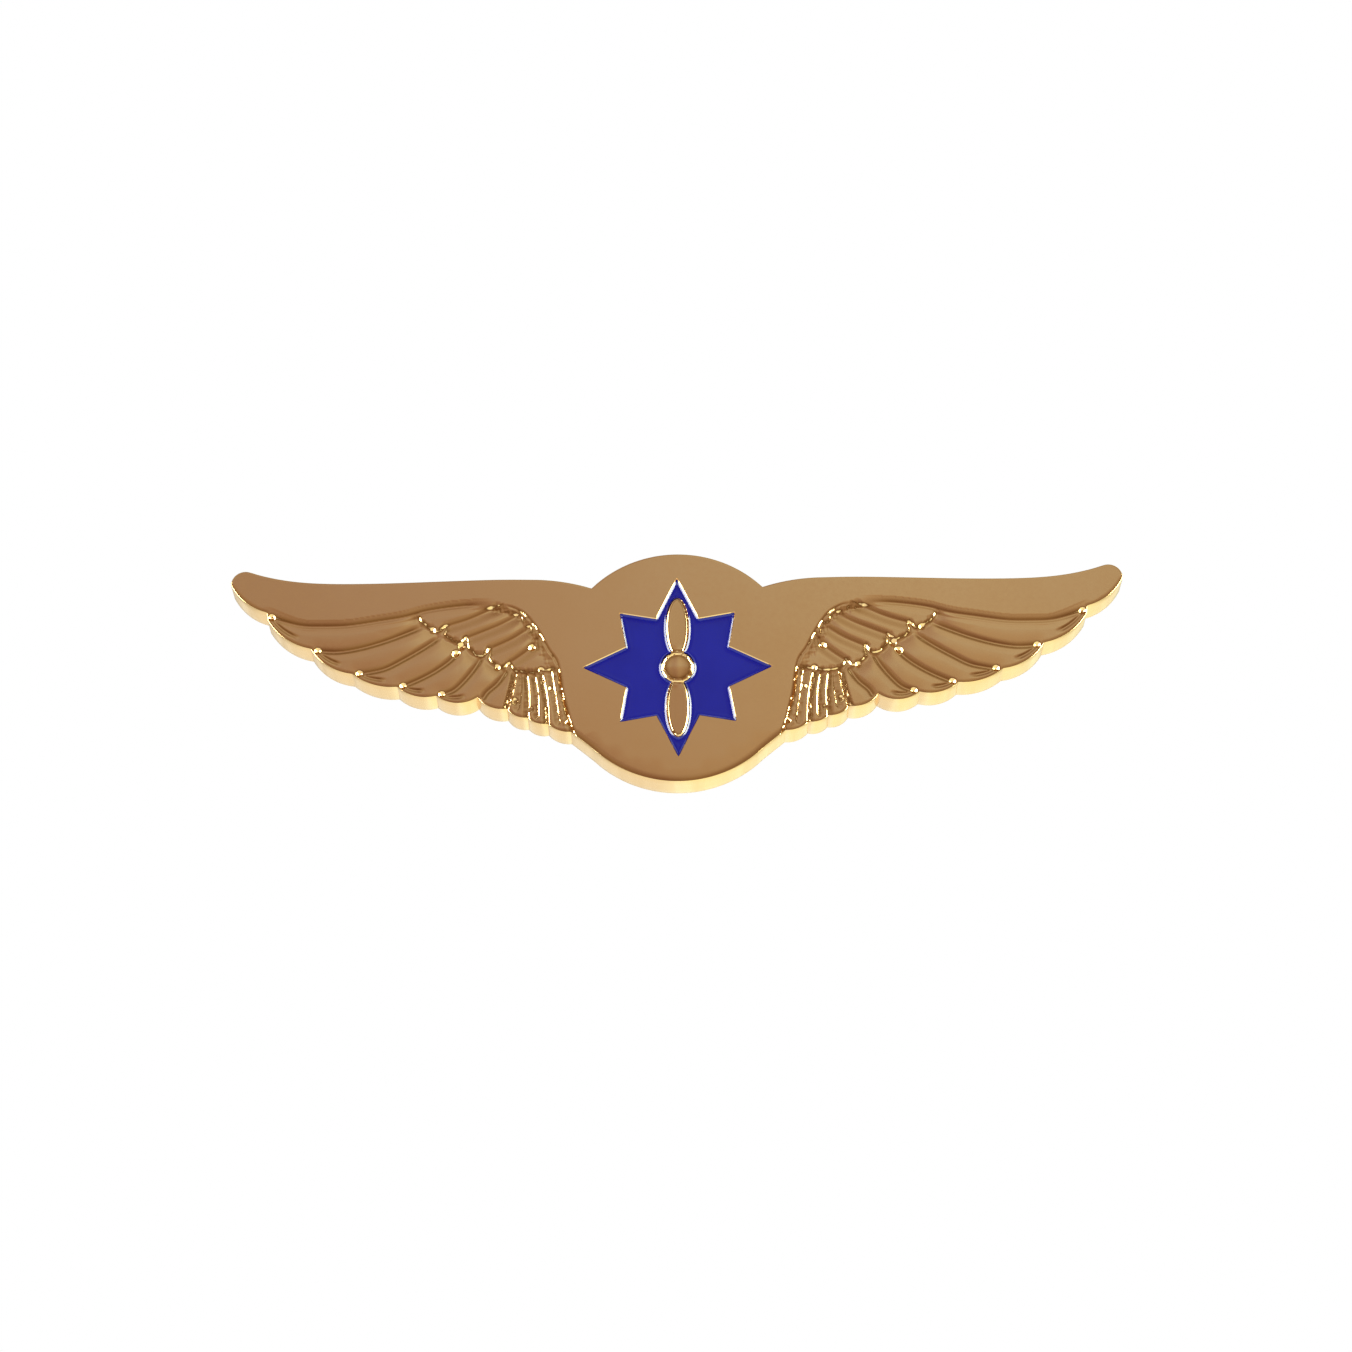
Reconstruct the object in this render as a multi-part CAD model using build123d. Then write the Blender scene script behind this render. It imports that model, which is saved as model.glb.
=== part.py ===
from build123d import *
import os

# A metal wings badge as it is worn. +Z is up, +X runs along the span, the polished face looks
# towards -Y, and two posts with butterfly clutches stand on the back towards +Y.
# The origin is on the flat back, behind the centre of the round shield. Sizes in millimetres.

# ---- badge ----
PLATE = 3.3  # from the back to the polished face
SHIELD_R = 10.25
SHIELD_TOP = (7.3, 7.2)  # where the wing's upper edge leaves the shield
SHIELD_FOOT = (7.2, -7.3)  # where the wing's lower edge runs into the shield
SHOULDER_MIDDLE = (9.9, 7.83)
SHOULDER = (12.6, 8.04)
UPPER_EDGE = [(20.0, 7.95), (28.0, 7.79), (32.5, 8.02)]
TIP_TOP = (36.5, 8.93)
TIP_CORNER = (37.75, 8.62)
TIP_END = (38.1, 7.8)
TIP_LOWER = (36.8, 6.14)
BAND_END = (34.95, 5.2)  # outer end of the smooth leading band
FIRST_FEATHER = (34.9, 4.6)
INSIDE_SHIELD = [(0.0, -3.0), (0.0, 3.0)]  # where the wing's outline closes, hidden in the shield

# Notches between the feather ends, from the tip inwards, and how far each feather end bulges
NOTCHES = [
    (31.15, 1.9),
    (27.6, -0.4),
    (23.75, -1.6),
    (20.45, -2.43),
    (16.95, -2.58),
    (14.45, -3.63),
    (12.7, -4.45),
    (11.0, -5.0),
    (9.05, -5.77),
]
BULGES = [0.52, 0.5, 0.4, 0.45, 0.6, 0.42, 0.3, 0.25, 0.25]

# Feather field: a sunk area between the leading band, the shield and the feathered edge
FIELD_DEPTH = 0.15
RIM_WIDTH = 0.4  # low ledge that runs round the feather ends
RIM_DEPTH = 0.35
BAND_EDGE = [(15.3, 5.75), (18.0, 5.72), (23.2, 4.75), (29.0, 3.95), (34.9, 4.85)]
INNER_EDGE = [(9.05, -5.3), (9.75, -2.4), (10.15, 0.25), (11.65, 2.85), (13.0, 4.85), (15.3, 5.75)]
PAST_THE_EDGE = [(40.0, 5.2), (40.0, -12.0), (8.6, -7.5)]  # the field is cut out past the feather ends
BEHIND_FIELD = 8.0  # x further in than the field
ABOVE_WING = 10.0

# Grooves between feathers: start, middle and end of an arc
GROOVE_WIDTH = 0.3
GROOVE_DEPTH = 0.45
LONG_GROOVES = [
    [(21.2, 4.05), (25.5, 2.35), (30.7, 1.8)],
    [(19.8, 3.2), (22.7, 1.2), (27.2, -0.3)],
    [(18.4, 2.1), (20.1, 0.15), (23.4, -1.45)],
    [(16.8, 1.2), (17.8, -0.75), (20.1, -2.3)],
    [(14.8, -0.1), (15.4, -1.35), (16.75, -2.45)],
]
FAN_GROOVES = [
    [(13.6, -0.35), (13.95, -1.95), (14.4, -3.45)],
    [(12.5, -0.45), (12.5, -2.3), (12.7, -4.25)],
    [(11.4, -0.3), (11.0, -2.6), (11.0, -4.8)],
]
COVERT_GROOVES = [
    [(15.5, 5.5), (17.4, 4.65), (19.5, 4.0)],
    [(13.4, 4.95), (15.4, 3.8), (17.9, 2.9)],
    [(12.5, 3.7), (13.9, 2.75), (15.9, 1.95)],
    [(11.8, 2.85), (12.4, 1.9), (13.3, 1.15)],
]

# ---- enamelled star with a propeller standing in it ----
STAR_LONG = 8.0
STAR_SHORT = 6.9
STAR_WAIST = 4.7
STAR_POINTS = 8
STAR_DEPTH = 0.8
ENAMEL_BELOW_FACE = 0.1
HUB_R = 1.45
BLADE_MIDDLE = 3.6
BLADE_HALF_WIDTH = 1.0
BLADE_HALF_LENGTH = 2.7

# ---- posts ----
POST_X = 13.7
POST_Z = 3.0
POST_R = 0.575
POST_TIP = 7.6  # from the back
POST_TAPER = 6.3
POINT_BEND = (0.42, 7.02)  # a place on the rounded point
POINT_R = 0.1
SEAT_R = 3.0
SEAT_DEPTH = 0.3
PAD_R = 2.4
PAD_TOP = 0.15
PAD_FILLET = 0.2
GROOVE_Y = [2.05, 3.75, 5.45]  # three locking places along the post
NECK_HALF = 0.3
NECK_DEPTH = 0.12
SOLDER_LOW = 0.06
SOLDER_HIGH = 0.1

# ---- clutch, measured from the front of its base plate ----
CLUTCH_GAP = 2.1  # cloth between the back and the clutch
CLUTCH_R = 5.15
BASE_SHEET = 0.35
BASE_ROUND = 0.25
RIM_ROUND = 0.2
BORE_R = 0.65
FUNNEL_R = 1.75
FUNNEL_TOP = 0.95
FUNNEL_THROAT = 0.7
FUNNEL_LIP_R = 1.0
FUNNEL_FOOT_R = FUNNEL_R + 0.3
RIM_TOP = 1.02
CURL_R = 4.35
CURL_UNDER = 0.78
FLANGE_R = 4.65
FLANGE_LOW = 0.4
FLANGE_TOP = 0.7
BOX_HALF_X = 2.65
BOX_HALF_Z = 2.1
BOX_TOP = 3.2
BOX_WALL = 0.35
BOX_CORNER = 0.95
BOX_TOP_ROUND = 0.45
BOX_HOLE_R = 0.75
PIVOT_HEIGHT = 2.45
PIVOT_R = 0.25
PIVOT_HALF_LENGTH = 1.1
WIRE_R = 0.225
WIRE_HEIGHT = GROOVE_Y[1] - CLUTCH_GAP
WIRE_X = 0.6 + WIRE_R
WIRE_HALF_SPAN = 2.5
WIRE_END_X = 3.7
WIRE_BEND = 0.5
SLOT_X = (0.5, 1.3)
SLOT_HALF_HEIGHT = 0.3
EAR_SHEET = 0.3
EAR_ROOT_X = 3.13
EAR_FOOT = 1.12
EAR_BEND_HEIGHT = 2.9
EAR_TIP = (4.95, 5.3)
EAR_BEND_R = 2.0
EAR_ROOT_HALF = 3.2
EAR_ROOT_TOP = 2.1
EAR_NECK = (2.5, 2.7)
EAR_SIDE = (3.4, 4.1)
EAR_CORNER = (2.6, 5.25)
EAR_TOP = 5.5
EAR_CUTTER = 8.0  # longer than the ear reaches from the clutch's axis
EAR_HOLE_R = 0.36

TINY = 0.01  # how far a cutting tool runs past a face


def face_sketch(sketch):
    """A sketch drawn in x and z, standing in the plane of the back."""
    return Plane.XZ * sketch


def layer(sketch, low, high):
    """The solid between two heights above the back, measured towards the polished face."""
    return Pos(0, -low, 0) * extrude(face_sketch(sketch), amount=high - low)


def both_sides(sketch):
    return sketch + mirror(sketch, about=Plane.YZ)


def feather_ends(inset):
    """The scalloped lower edge from the tip inwards, moved into the wing by inset."""
    corners = [Vector(*corner) for corner in [FIRST_FEATHER, *NOTCHES]]
    moved = []
    for before, corner, after in zip([corners[0], *corners], corners, [*corners[1:], corners[-1]]):
        inward = (after - before).normalized().rotate(Axis.Z, -90)
        moved.append(corner + inward * inset)
    return [SagittaArc(*ends, bulge) for *ends, bulge in zip(moved, moved[1:], BULGES)]


def wing_sketch():
    """The right wing's outline, closed behind the shield."""
    edges = [
        ThreePointArc(SHIELD_TOP, SHOULDER_MIDDLE, SHOULDER),
        Spline(SHOULDER, *UPPER_EDGE, TIP_TOP),
        ThreePointArc(TIP_TOP, TIP_CORNER, TIP_END),
        ThreePointArc(TIP_END, TIP_LOWER, BAND_END),
        Line(BAND_END, FIRST_FEATHER),
        *feather_ends(0),
        Polyline(NOTCHES[-1], SHIELD_FOOT, *INSIDE_SHIELD, SHIELD_TOP),
    ]
    return make_face(edges)


def field_sketch():
    """The feather field of the right wing, running past the feathered edge."""
    outside = Polyline(BAND_EDGE[-1], *PAST_THE_EDGE, INNER_EDGE[0])
    edges = [Spline(*BAND_EDGE), outside, Spline(*INNER_EDGE)]
    return make_face(edges)


def inside_rim_sketch():
    """All of the right wing that lies further in than the rim round the feather ends."""
    ends = feather_ends(RIM_WIDTH)
    root, tip = ends[-1] @ 1, ends[0] @ 0
    back = Polyline(
        root, (BEHIND_FIELD, root.Y), (BEHIND_FIELD, ABOVE_WING), (tip.X, ABOVE_WING), tip
    )
    return make_face([*ends, back])


def groove_sketch(start, middle, end, width):
    """A strip of one width along the arc through three points."""
    centre_line = ThreePointArc(start, middle, end)
    centre = centre_line.arc_center
    radius = centre_line.radius
    rails = []
    for side in (-0.5, 0.5):
        factor = (radius + side * width) / radius
        rails.append([centre + (Vector(*point) - centre) * factor for point in (start, middle, end)])
    inner, outer = rails
    edges = [
        ThreePointArc(*inner),
        Line(inner[2], outer[2]),
        ThreePointArc(*outer),
        Line(outer[0], inner[0]),
    ]
    return make_face(edges)


def star_sketch():
    """Eight points, long and short in turn."""
    corners = []
    step = 180 / STAR_POINTS
    for i in range(2 * STAR_POINTS):
        if i % 2:
            reach = STAR_WAIST
        elif i % 4:
            reach = STAR_SHORT
        else:
            reach = STAR_LONG
        corners.append(Vector(0, reach).rotate(Axis.Z, i * step))
    return make_face(Polyline(*corners, close=True))


def propeller_sketch():
    blade = Ellipse(BLADE_HALF_WIDTH, BLADE_HALF_LENGTH)
    return Circle(HUB_R) + Pos(0, BLADE_MIDDLE) * blade + Pos(0, -BLADE_MIDDLE) * blade


def badge_body():
    outline = both_sides(wing_sketch()) + Circle(SHIELD_R)
    field = both_sides(field_sketch())
    rim = both_sides(field_sketch() - inside_rim_sketch())
    grooves = Sketch()
    for arc in LONG_GROOVES + FAN_GROOVES + COVERT_GROOVES:
        grooves += both_sides(groove_sketch(*arc, GROOVE_WIDTH))
    body = layer(outline, 0, PLATE)
    body -= layer(field, PLATE - FIELD_DEPTH, PLATE + TINY)
    body -= layer(rim, PLATE - RIM_DEPTH, PLATE + TINY)
    body -= layer(grooves, PLATE - GROOVE_DEPTH, PLATE + TINY)
    body -= layer(star_sketch() - propeller_sketch(), PLATE - STAR_DEPTH, PLATE + TINY)
    for x in (-POST_X, POST_X):
        body -= layer(Pos(x, POST_Z) * Circle(SEAT_R), -TINY, SEAT_DEPTH)
    return body


def enamel_star():
    return layer(star_sketch() - propeller_sketch(), PLATE - STAR_DEPTH, PLATE - ENAMEL_BELOW_FACE)


def turned(edges):
    """A turned piece: a profile of radius and height, turned about its axis and pointed to +Y."""
    profile = make_face(edges)
    return revolve(profile, Axis.Y)


def post():
    """Pad, stem with three necks and a point."""
    fillet_r = POST_R + PAD_FILLET
    height = PAD_TOP + PAD_FILLET
    edges = [
        Polyline((0, -SEAT_DEPTH), (PAD_R, -SEAT_DEPTH), (PAD_R, PAD_TOP), (fillet_r, PAD_TOP)),
        TangentArc((fillet_r, PAD_TOP), (POST_R, height), tangent=(-1, 0)),
    ]
    for middle in GROOVE_Y:
        low, high = middle - NECK_HALF, middle + NECK_HALF
        edges.append(Line((POST_R, height), (POST_R, low)))
        edges.append(ThreePointArc((POST_R, low), (POST_R - NECK_DEPTH, middle), (POST_R, high)))
        height = high
    edges.append(Line((POST_R, height), (POST_R, POST_TAPER)))
    edges.append(ThreePointArc((POST_R, POST_TAPER), POINT_BEND, (POINT_R, POST_TIP)))
    edges.append(Polyline((POINT_R, POST_TIP), (0, POST_TIP), (0, -SEAT_DEPTH)))
    return turned(edges)


def solder():
    """The solder that fills the seat round the pad."""
    edges = [
        Polyline((PAD_R, SOLDER_HIGH), (PAD_R, -SEAT_DEPTH), (SEAT_R, -SEAT_DEPTH), (SEAT_R, -SOLDER_LOW)),
        TangentArc((SEAT_R, -SOLDER_LOW), (PAD_R, SOLDER_HIGH), tangent=(-1, 0)),
    ]
    return turned(edges)


def clutch_base():
    """A cup with a funnel for the post and a rim curled over the housing's flange."""
    edges = [
        Line((FUNNEL_R, 0), (CLUTCH_R - BASE_ROUND, 0)),
        TangentArc((CLUTCH_R - BASE_ROUND, 0), (CLUTCH_R, BASE_ROUND), tangent=(1, 0)),
        Line((CLUTCH_R, BASE_ROUND), (CLUTCH_R, RIM_TOP - RIM_ROUND)),
        TangentArc((CLUTCH_R, RIM_TOP - RIM_ROUND), (CLUTCH_R - RIM_ROUND, RIM_TOP), tangent=(0, 1)),
        Polyline(
            (CLUTCH_R - RIM_ROUND, RIM_TOP),
            (CURL_R, RIM_TOP),
            (CURL_R, CURL_UNDER),
            (CLUTCH_R - BASE_SHEET, CURL_UNDER),
            (CLUTCH_R - BASE_SHEET, BASE_SHEET),
            (FUNNEL_FOOT_R, BASE_SHEET),
        ),
        TangentArc((FUNNEL_FOOT_R, BASE_SHEET), (FUNNEL_LIP_R, FUNNEL_TOP), tangent=(-1, 0)),
        Polyline((FUNNEL_LIP_R, FUNNEL_TOP), (BORE_R, FUNNEL_TOP), (BORE_R, FUNNEL_THROAT)),
        TangentArc((FUNNEL_R, 0), (BORE_R, FUNNEL_THROAT), tangent=(-1, 0)),
    ]
    return turned(edges)


def upright(sketch, low, high):
    """The solid between two heights of the clutch, of a sketch drawn in x and z."""
    return Pos(0, high, 0) * extrude(face_sketch(sketch), amount=high - low)


def clutch_housing():
    """A flanged box with a hole for the post, slots for the wires and a ridge for each ear."""
    flange = upright(Circle(FLANGE_R), FLANGE_LOW, FLANGE_TOP)
    box = upright(RectangleRounded(2 * BOX_HALF_X, 2 * BOX_HALF_Z, BOX_CORNER), FLANGE_LOW, BOX_TOP)
    top_edges = box.faces().sort_by(Axis.Y)[-1].edges()
    box = fillet(top_edges, BOX_TOP_ROUND)
    shell = flange + box
    inside = RectangleRounded(
        2 * (BOX_HALF_X - BOX_WALL), 2 * (BOX_HALF_Z - BOX_WALL), BOX_CORNER - BOX_WALL
    )
    shell -= upright(inside, FLANGE_LOW - TINY, BOX_TOP - BOX_WALL)
    shell -= upright(Circle(BOX_HOLE_R), BOX_TOP - 2 * BOX_WALL, BOX_TOP + TINY)
    slot_width = SLOT_X[1] - SLOT_X[0]
    slot_middle = (SLOT_X[0] + SLOT_X[1]) / 2
    slot = Box(slot_width, 2 * SLOT_HALF_HEIGHT, 3 * BOX_HALF_Z)
    for side in (-1, 1):
        shell -= Pos(side * slot_middle, WIRE_HEIGHT, 0) * slot
        ridge = Pos(side * BOX_HALF_X, PIVOT_HEIGHT, 0) * Cylinder(PIVOT_R, 2 * PIVOT_HALF_LENGTH)
        shell += ridge
    return shell


def clutch_ear():
    """The ear on the +X side: a bent sheet, cut to a rounded outline, with two wire holes."""
    path = FilletPolyline(
        (EAR_ROOT_X, EAR_FOOT, 0), (EAR_ROOT_X, EAR_BEND_HEIGHT, 0), (*EAR_TIP, 0), radius=EAR_BEND_R
    )
    section = Plane(origin=path @ 0, x_dir=(1, 0, 0), z_dir=path % 0)
    strip = sweep(section * Rectangle(EAR_SHEET, 3 * EAR_SIDE[0]), path=path)
    outline_edges = [
        Polyline((0, EAR_FOOT), (EAR_ROOT_HALF, EAR_FOOT), (EAR_ROOT_HALF, EAR_ROOT_TOP), EAR_NECK),
        TangentArc(EAR_SIDE, EAR_NECK, tangent=(0, -1)),
        TangentArc(EAR_SIDE, EAR_CORNER, tangent=(0, 1)),
        TangentArc((0, EAR_TOP), EAR_CORNER, tangent=(1, 0)),
        Line((0, EAR_TOP), (0, EAR_FOOT)),
    ]
    outline = make_face(outline_edges)
    outline += mirror(outline, about=Plane.YZ)
    # The outline is drawn across the clutch in z and height, and cuts the strip along x
    across = Plane(origin=(0, 0, 0), x_dir=(0, 0, 1), z_dir=(-1, 0, 0))
    cutter = Pos(EAR_CUTTER, 0, 0) * extrude(across * outline, amount=EAR_CUTTER)
    ear = strip & cutter
    hole = Rot(0, 90, 0) * Cylinder(EAR_HOLE_R, 4 * EAR_SHEET)
    for z in (-WIRE_HALF_SPAN, WIRE_HALF_SPAN):
        ear -= Pos(EAR_ROOT_X, WIRE_HEIGHT, z) * hole
    return ear


def clutch_wire():
    """The jaw wire on the +X side: straight past the post, with both ends hooked in the ear."""
    path = FilletPolyline(
        (WIRE_END_X, WIRE_HEIGHT, -WIRE_HALF_SPAN),
        (WIRE_X, WIRE_HEIGHT, -WIRE_HALF_SPAN),
        (WIRE_X, WIRE_HEIGHT, WIRE_HALF_SPAN),
        (WIRE_END_X, WIRE_HEIGHT, WIRE_HALF_SPAN),
        radius=WIRE_BEND,
    )
    return sweep(Plane(origin=path @ 0, z_dir=path % 0) * Circle(WIRE_R), path=path)


def write(node, solid):
    export_step(solid, f"parts/{node}.step")


write("badge_body", badge_body())
write("enamel_star", enamel_star())
for side, x in (("left", -POST_X), ("right", POST_X)):
    on_post = Pos(x, 0, POST_Z)
    on_clutch = Pos(x, CLUTCH_GAP, POST_Z)
    turned_about = {"left": {"inner": 1, "outer": -1}, "right": {"inner": -1, "outer": 1}}[side]
    write(f"{side}_post", on_post * post())
    write(f"{side}_solder", on_post * solder())
    write(f"{side}_clutch_base", on_clutch * clutch_base())
    write(f"{side}_clutch_housing", on_clutch * clutch_housing())
    for place, direction in turned_about.items():
        turn = Rot(0, 0 if direction > 0 else 180, 0)
        write(f"{side}_clutch_{place}_ear", on_clutch * turn * clutch_ear())
        write(f"{side}_clutch_{place}_wire", on_clutch * turn * clutch_wire())
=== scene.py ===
import math

import bpy
import numpy as np
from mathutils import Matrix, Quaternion, Vector
from mathutils.geometry import delaunay_2d_cdt

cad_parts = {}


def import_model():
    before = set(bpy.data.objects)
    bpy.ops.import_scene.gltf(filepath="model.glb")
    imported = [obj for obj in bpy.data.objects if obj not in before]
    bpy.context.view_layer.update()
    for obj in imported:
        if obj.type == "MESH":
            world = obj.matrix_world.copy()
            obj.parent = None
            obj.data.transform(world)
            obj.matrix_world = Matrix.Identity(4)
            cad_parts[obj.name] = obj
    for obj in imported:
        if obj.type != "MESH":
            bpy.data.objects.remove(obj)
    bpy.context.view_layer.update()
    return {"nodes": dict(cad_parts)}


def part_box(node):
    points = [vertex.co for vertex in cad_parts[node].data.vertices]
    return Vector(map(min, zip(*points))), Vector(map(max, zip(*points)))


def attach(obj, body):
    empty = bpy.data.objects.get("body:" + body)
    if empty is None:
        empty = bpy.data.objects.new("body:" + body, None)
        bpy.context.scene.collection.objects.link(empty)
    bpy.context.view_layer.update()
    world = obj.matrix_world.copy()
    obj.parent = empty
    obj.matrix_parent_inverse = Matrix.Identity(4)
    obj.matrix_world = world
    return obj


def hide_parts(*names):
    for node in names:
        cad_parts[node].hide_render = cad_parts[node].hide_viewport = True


# Looks of the wings badge. The frame's X and Z span the face, the polished side looks towards -Y.
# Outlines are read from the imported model. Flat work is done in millimetres as (x, z) pairs, with
# "sunk" meaning how far a point lies below the polished face.

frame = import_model()
nodes = frame["nodes"]

MM = 0.001
FACE = -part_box("badge_body")[0].y / MM  # from the back to the polished face
ENAMEL_FACE = -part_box("enamel_star")[0].y / MM
STAR_FLOOR = -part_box("enamel_star")[1].y / MM
SEAT_DEPTH = -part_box("left_post")[0].y / MM

# ---- relief of the right wing, mirrored for the left ----
# Grooves between the long feathers, outer wing first, each going on to a notch of the outline.
# The first is the lower edge of the plain band along the top of the wing.
GROOVES = [
    [
        (15.3, 5.75), (18, 5.72), (21.3, 5.28), (23.2, 4.75),
        (25.3, 4.4), (28, 4.0), (30, 3.94), (32, 4.03),
    ],
    [(21.3, 4.1), (22.7, 3.45), (24.8, 2.6), (27, 1.95), (28.8, 1.66)],
    [(19.9, 3.2), (21.5, 2.0), (23.2, 0.95), (24.8, 0.1), (26.0, -0.2)],
    [(18.3, 2.1), (19.2, 0.9), (20.4, -0.05), (21.7, -0.8)],
    [(16.6, 1.3), (17.2, 0.15), (18.2, -1.15), (19.0, -1.9)],
    [(14.4, 0.1), (15.3, -1.3), (16.2, -2.15)],
]
# The fan of short feathers next to the shield. Its grooves go on to the next notches.
FAN_GROOVES = [
    [(13.7, -0.3), (14.0, -1.95)],
    [(12.85, -0.35), (12.65, -2.2)],
    [(11.6, -0.25), (11.15, -2.6)],
]
FAN_CREASES = [
    [(13.25, -0.3), (13.3, -2.0), (13.5, -3.6)],
    [(12.2, -0.3), (11.9, -2.3), (11.85, -4.3)],
    [(10.75, -0.2), (10.4, -2.6), (10.05, -4.9)],
]
# Grooves between the coverts, the short feathers above the long ones
COVERT_GROOVES = [
    [(15.4, 5.6), (17.7, 4.5), (19.7, 3.85)],
    [(13.2, 5.05), (15, 4.0), (16.6, 3.3), (17.95, 2.75)],
    [(12.3, 3.9), (13.9, 2.75), (15.95, 1.75)],
    [(11.6, 2.95), (12.4, 1.9), (13.3, 1.15), (14.3, 0.45)],
]
# Where the feathers come out from under the shield
INNER_EDGE = [
    (8.6, -6.2), (9.1, -5.0), (9.4, -3.8), (9.75, -2.4), (10.05, -0.4), (10.35, 0.7), (10.95, 1.6),
    (11.65, 2.95), (12.3, 4.0), (13.0, 4.85), (14.0, 5.45), (15.3, 5.75),
]
# Rounded tips of the coverts and the top of the fan, from the band edge inwards
TIER_TIPS = [
    [(22.2, 5.05), (21.75, 4.25), (21.0, 3.65), (20.3, 3.4), (19.7, 3.85)],
    [(19.7, 3.85), (19.75, 3.05), (19.0, 2.5), (18.3, 2.25), (17.95, 2.75)],
    [(17.95, 2.75), (17.7, 1.8), (17.1, 1.25), (16.4, 1.2), (15.95, 1.75)],
    [(15.95, 1.75), (16.05, 0.9), (15.5, 0.3), (14.9, 0.05), (14.3, 0.45)],
    [(14.3, 0.45), (13.9, -0.1), (12.9, -0.35), (11.6, -0.3), (10.1, 0.1)],
]
# Corners well outside the wing, which close the field of feathers
PAST_FEATHERS = [(40, 5.2), (40, -12), (8, -12)]
# Small dents left by the punch, as (x, z, radius)
DENTS = [
    (18.35, 2.05, 0.38), (18.8, 1.4, 0.38), (13.8, -2.95, 0.36), (10.7, -1.85, 0.3),
    (12.35, 1.85, 0.34), (9.3, -4.95, 0.28), (12.4, -3.7, 0.28), (11.6, -0.15, 0.3),
    (15.3, 0.1, 0.28), (20.8, 3.5, 0.28),
]
JUNCTION_DENT = 0.33  # radius of one more dent where each long groove meets a feather tip
DENT_SLOPE = 0.66
DENT_SOFT = 0.03  # rounding at the bottom of a dent

TIP_SUNK = 0.07  # feather tips below the polished face
ROOT_SUNK = 0.31  # feather roots, where they come out from under the feathers above
ROOT_POWER = 5.5  # the higher, the sooner a feather has risen from its root
STEP_WIDTH = (0.36, 0.2)  # step between coverts and long feathers: mean, and how much it varies
INNER_WIDTH = (0.72, 0.34, 0.3)  # step at the inner edge: mean, variation, and a wider place
WIDER_PLACE = (0.62, 0.12)  # where along the inner edge that place is, and its length
BAND_WIDTH = 0.45  # step below the band
BAND_REACH = 0.5  # how far grooves may reach into the band
RESTLESS = (0.02, 0.3)  # unevenness along the steps: its height and its reach

# Cross sections of grooves, as channel() takes them
FEATHER_GROOVE = dict(depth=0.105, above=0.46, below=0.36, rise=0.15)
FEATHER_HOLLOW = dict(depth=0.035, above=1.3, below=0.9, rise=0.15)
COVERT_GROOVE = dict(depth=0.115, above=0.52, below=0.9)
TIP_LINE = dict(depth=0.09, above=0.24, below=0.26, fade=0.3, power=1.15)
TIP_LINE_END = 0.8  # how much of a feather tip its line follows
INNER_LINE = dict(depth=0.07, above=0.18, below=0, rise=0.06, fade=0.1, power=1.15)
RIDGE_HALF = 0.38  # half the width of a ridge in the fan
FAN_VALLEY = dict(above=1.2 * RIDGE_HALF, below=0.48 * RIDGE_HALF, power=1.3)
FAN_DEPTHS = (0.18, 0.2, 0.15, 0.18, 0.09, 0.13, 0.1)  # inner edge, grooves, creases
FAN_END = 15  # the fan lies nearer to the middle than this
FAN_VARIATION = 0.35
FAN_FADE = 0.5  # below the coverts
RIM_INSET = (0.36, 0.72)  # from the outline to the line that follows each feather tip
POLISHED_DOWN = 0.12  # wear along the lower edge of the disc
POLISHED_WIDTH = (0.55, 0.28)  # along the disc and along the feathers
FEATHERS_FROM = (8.0, 10.0)  # x over which the disc's edge turns into the feathers'
SHIELD_END = 8.5  # notches further out than this are between feathers

# ---- enamel and propeller ----
ENAMEL_SAG = 0.2
ENAMEL_EDGE = 0.45  # how far from a wall the glass climbs
ENAMEL_RINGS = (0.045, 0.09, 0.14, 0.2, 0.27)  # rows of points along the walls
ENAMEL_FINE = 0.13
STAR_BEVEL = 0.06
PROPELLER_RISE = 0.2  # from the edge of the propeller to its top
PROPELLER_FINE = 0.11
BLADE_EDGE = 0.25  # width of the rounded edge
BLADE_SUNK = 0.06
BLADE_TWIST = 0.09
HUB_RADIUS = 1.1
RING_RADIUS, RING_WIDTH, RING_HEIGHT = 1.27, 0.1, 0.14
TWIST_FROM = (1.3, 2.0)  # radii over which the blades take on their twist
HUB_TO_BLADE = (1.35, 1.5)  # radii over which hub and ring pass into the blades

# ---- meshes ----
EDGE_ROUND = 0.08
FINE = 0.085  # spacing of points in the relief
COARSE = 1.3
OUTLINE_STEP = 0.16
SEAT_STEP = 0.3
STAR_STEP = 0.2
ISLAND_STEP = 0.1
ENAMEL_STEP = 0.1
CURVE_STEP = 0.15  # spacing along the curves of the relief
TIER_STEP = 0.1
FIELD_STEP = 0.3
BAND_END = (35, 5.2)  # close to the wing's tip
FINE_FROM, FINE_BELOW = 7.5, 7  # x and z that bound the fine points
FINE_REACH = 0.75  # how far the fine points reach past the feathers
COARSE_REACH, MARGIN_REACH = 1.2, 0.8  # how far the other points keep off them
STAR_CLEAR = 1.08  # the star's scale inside which there are no coarse points
WALL_GAP = 0.05  # between the last points and a wall of the star
FINE_GAP = 0.055  # between the last fine points and the edge
COARSE_GAP = 0.9
SEAT_GAP = 0.4
FRONT_MARGIN = (0.1, 0.2, 0.32, 0.47)  # rows of points along the edge
BACK_MARGIN = (0.12, 0.35)
FACE_SLOT, WALL_SLOT, BACK_SLOT = range(3)
SHARP_ANGLE = 40
CORNER_TURN, NOTCH_TURN = 40, -20  # degrees that a loop turns at a corner
SHORT_STEP = 0.02  # points of the CAD model that lie closer together are merged
LEVEL_SLACK = 0.002
SPLINE_STEPS = 24


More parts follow.
